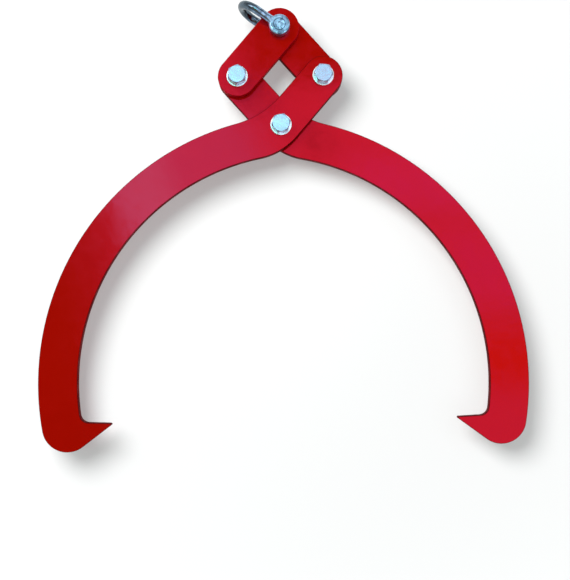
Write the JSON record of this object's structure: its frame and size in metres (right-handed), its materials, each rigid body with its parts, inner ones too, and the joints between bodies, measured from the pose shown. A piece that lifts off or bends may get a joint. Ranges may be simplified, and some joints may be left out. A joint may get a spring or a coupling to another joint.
{
  "type": "log grapple",
  "caption": "Scissor lifting tongs for logs: two curved hooked arms and two links of flat red plate, bolted into a rhombus, hung from a bow shackle.",
  "frame": {"origin": "middle of the footprint, at the lowest point, with the tongs lying on their back and half open", "axes": "+Z out of the front faces of the plates, +Y from the centre pivot to the lifting eye, +X to the right"},
  "size_m": [0.6914, 0.6318, 0.08],
  "materials": {
    "plate_paint": "gloss red paint",
    "zinc_plated_steel": "bright bluish zinc plating",
    "galvanised_steel": "hot dip galvanised",
    "nylon": "natural nylon"
  },
  "bodies": {
    "centre_pivot": {"centre_bolt": "zinc_plated_steel", "centre_front_washer": "zinc_plated_steel", "centre_back_washer": "zinc_plated_steel", "centre_lock_nut": "zinc_plated_steel", "centre_nut_ring": "nylon"},
    "front_arm": {"front_arm": "plate_paint", "right_bolt": "zinc_plated_steel", "right_front_washer": "zinc_plated_steel", "right_back_washer": "zinc_plated_steel", "right_lock_nut": "zinc_plated_steel", "right_nut_ring": "nylon"},
    "back_arm": {"back_arm": "plate_paint"},
    "front_link": {"front_link": "plate_paint", "left_bolt": "zinc_plated_steel", "left_front_washer": "zinc_plated_steel", "left_back_washer": "zinc_plated_steel", "left_lock_nut": "zinc_plated_steel", "left_nut_ring": "nylon"},
    "back_link": {"back_link": "plate_paint"},
    "shackle": {"shackle_bow": "galvanised_steel", "shackle_pin": "galvanised_steel"}
  },
  "joints": [
    {"name": "front_arm_opening", "type": "hinge", "parent": "centre_pivot", "child": "front_arm", "pos_m": [0, 0.1389, 0.0515], "axis": [0, 0, -1], "range_deg": [-22.5, 16.6]},
    {"name": "back_arm_opening", "type": "hinge", "parent": "centre_pivot", "child": "back_arm", "pos_m": [0, 0.1389, 0.0515], "axis": [0, 0, -1], "range_deg": [-16.6, 22.5]},
    {"name": "left_pivot", "type": "hinge", "parent": "back_arm", "child": "front_link", "pos_m": [-0.06047, 0.20797, 0.0515], "axis": [0, 0, -1], "range_deg": [-45, 33.2]},
    {"name": "right_pivot", "type": "hinge", "parent": "front_arm", "child": "back_link", "pos_m": [0.06047, 0.20797, 0.0515], "axis": [0, 0, -1], "range_deg": [-33.2, 45]},
    {"name": "shackle_swing", "type": "hinge", "parent": "front_link", "child": "shackle", "pos_m": [0, 0.27705, 0.0515], "axis": [0, 0, -1], "range_deg": [-44, 127]}
  ],
  "couplings": [
    {"joint": "back_arm_opening", "follows": "front_arm_opening", "ratio": -1},
    {"joint": "left_pivot", "follows": "front_arm_opening", "ratio": 2},
    {"joint": "right_pivot", "follows": "front_arm_opening", "ratio": -2}
  ]
}
